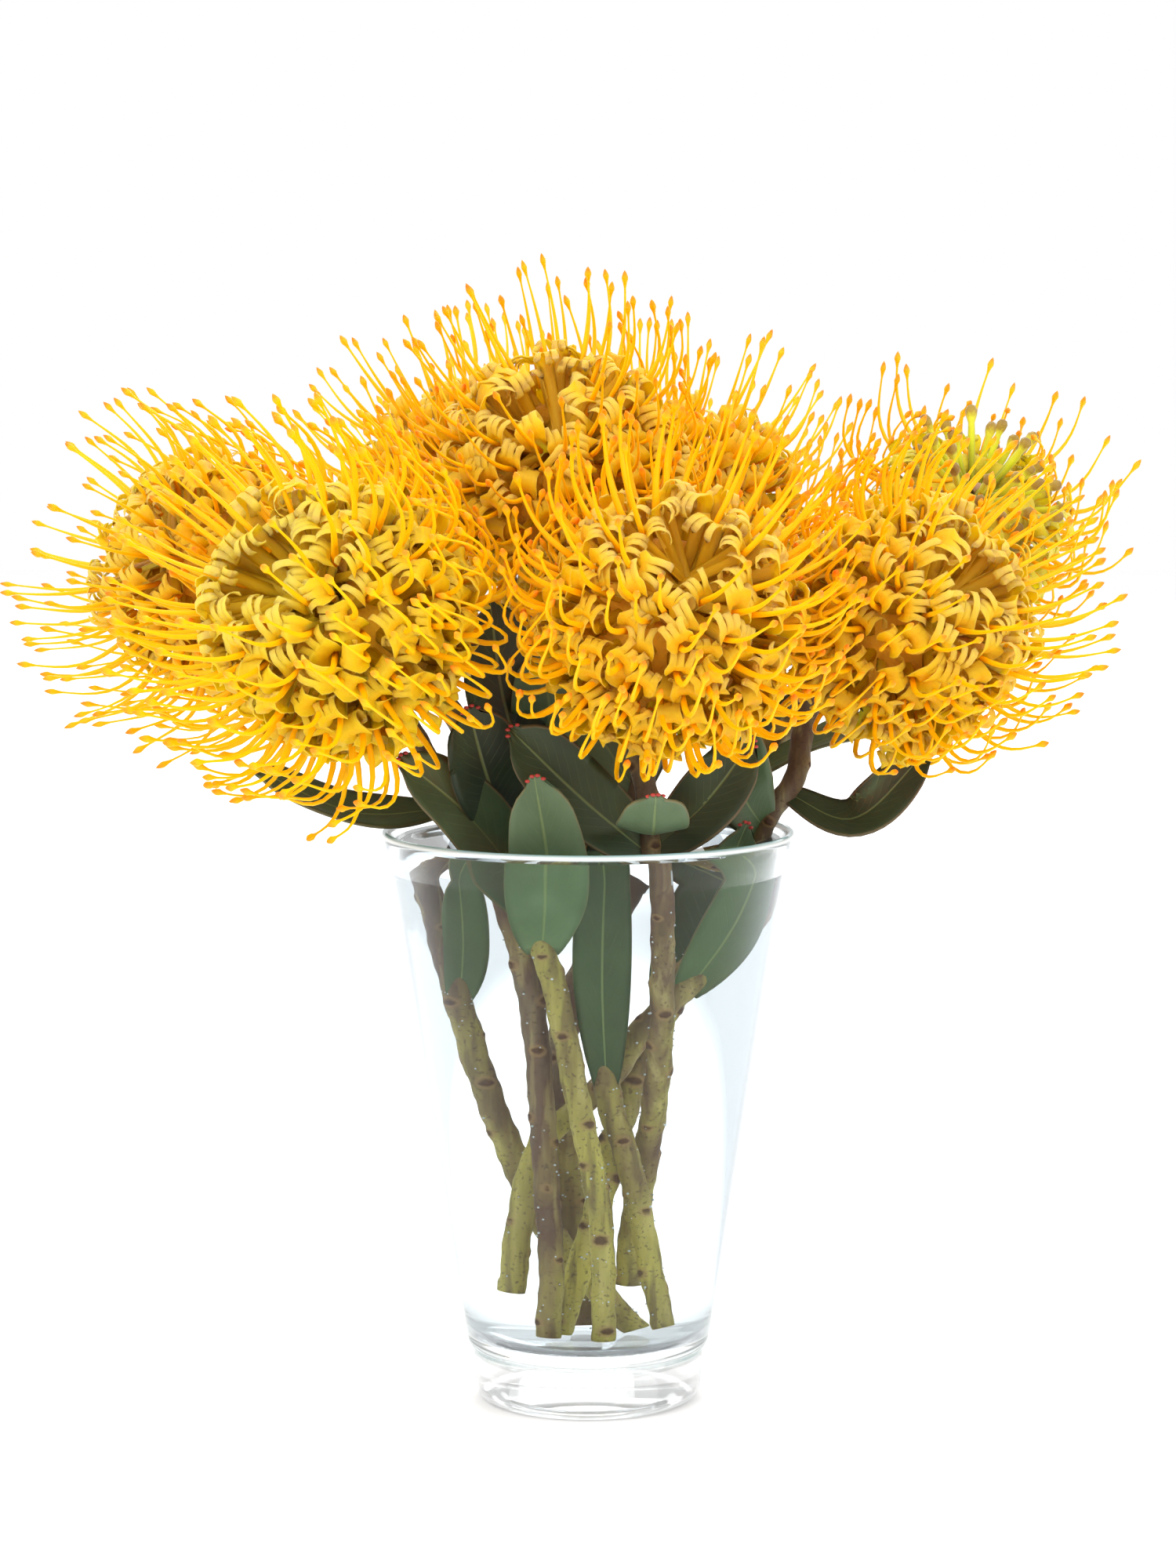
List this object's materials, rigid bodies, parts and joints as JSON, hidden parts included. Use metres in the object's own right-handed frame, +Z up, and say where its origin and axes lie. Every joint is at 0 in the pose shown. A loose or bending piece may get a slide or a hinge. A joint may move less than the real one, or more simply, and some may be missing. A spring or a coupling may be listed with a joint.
{
  "type": "pincushion protea flowers in a glass vase",
  "caption": "Clear tapered glass vase filled with water, holding leafy cut stems that end in round golden pincushion flower heads with curved pin-like styles.",
  "frame": {"origin": "centre of the vase's flat foot, on the surface it stands on", "axes": "+Z up along the vase's axis, -Y towards the side the picture was taken from, +X to the right seen from there"},
  "size_m": [0.3488, 0.2667, 0.3526],
  "materials": {
    "clear_glass": "polished",
    "water": "gloss",
    "leafy_stem": "matte",
    "golden_bloom": "satin",
    "lemon_bloom": "satin",
    "lime_gold_bloom": "satin"
  },
  "bodies": {
    "root": {"vase": "clear_glass", "water": "water", "stem_front_centre": "leafy_stem", "stem_front_left": "leafy_stem", "stem_right": "leafy_stem", "stem_back_centre": "leafy_stem", "stem_left": "leafy_stem", "stem_back_right": "leafy_stem", "stem_far_right": "leafy_stem", "stem_far_left": "leafy_stem", "bloom_front_centre": "golden_bloom", "bloom_front_left": "lemon_bloom", "bloom_right": "golden_bloom", "bloom_back_centre": "golden_bloom", "bloom_left": "golden_bloom", "bloom_back_right": "lime_gold_bloom", "bloom_far_right": "golden_bloom", "bloom_far_left": "golden_bloom"}
  },
  "joints": []
}
